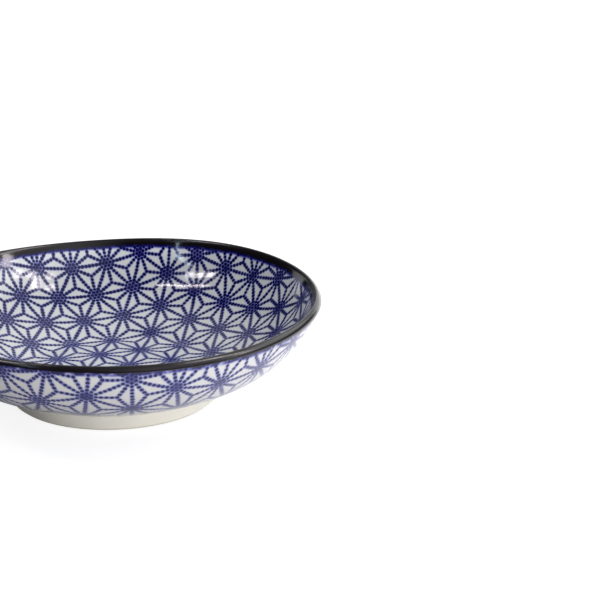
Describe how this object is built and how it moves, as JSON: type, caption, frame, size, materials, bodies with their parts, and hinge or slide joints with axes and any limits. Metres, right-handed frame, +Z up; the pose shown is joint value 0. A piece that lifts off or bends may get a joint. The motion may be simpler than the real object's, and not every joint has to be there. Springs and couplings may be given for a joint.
{
  "type": "pasta plate",
  "caption": "Deep round porcelain plate on a plain foot ring, with a blue hemp-leaf print inside and outside under a glossy glaze and a brown-black rim.",
  "frame": {"origin": "middle of the plate on the plane that the foot stands on", "axes": "+Z up along the axis of turning; X and Y are alike"},
  "size_m": [0.21, 0.21, 0.052],
  "materials": {
    "porcelain": "fired porcelain clay, hidden under the coats",
    "bare_porcelain": "unglazed, ground smooth",
    "printed_glaze_inside": "clear gloss glaze over a dotted cobalt hemp-leaf print on grey-white",
    "printed_glaze_outside": "clear gloss glaze over a dotted cobalt hemp-leaf print on blue-white",
    "plain_glaze": "clear gloss glaze on white",
    "iron_brown_glaze": "gloss iron-oxide brown, nearly black"
  },
  "bodies": {
    "root": {"porcelain_body": "porcelain", "foot_ring": "bare_porcelain", "inner_glaze": "printed_glaze_inside", "outer_glaze": "printed_glaze_outside", "base_glaze": "plain_glaze", "rim_band": "iron_brown_glaze"}
  },
  "joints": []
}
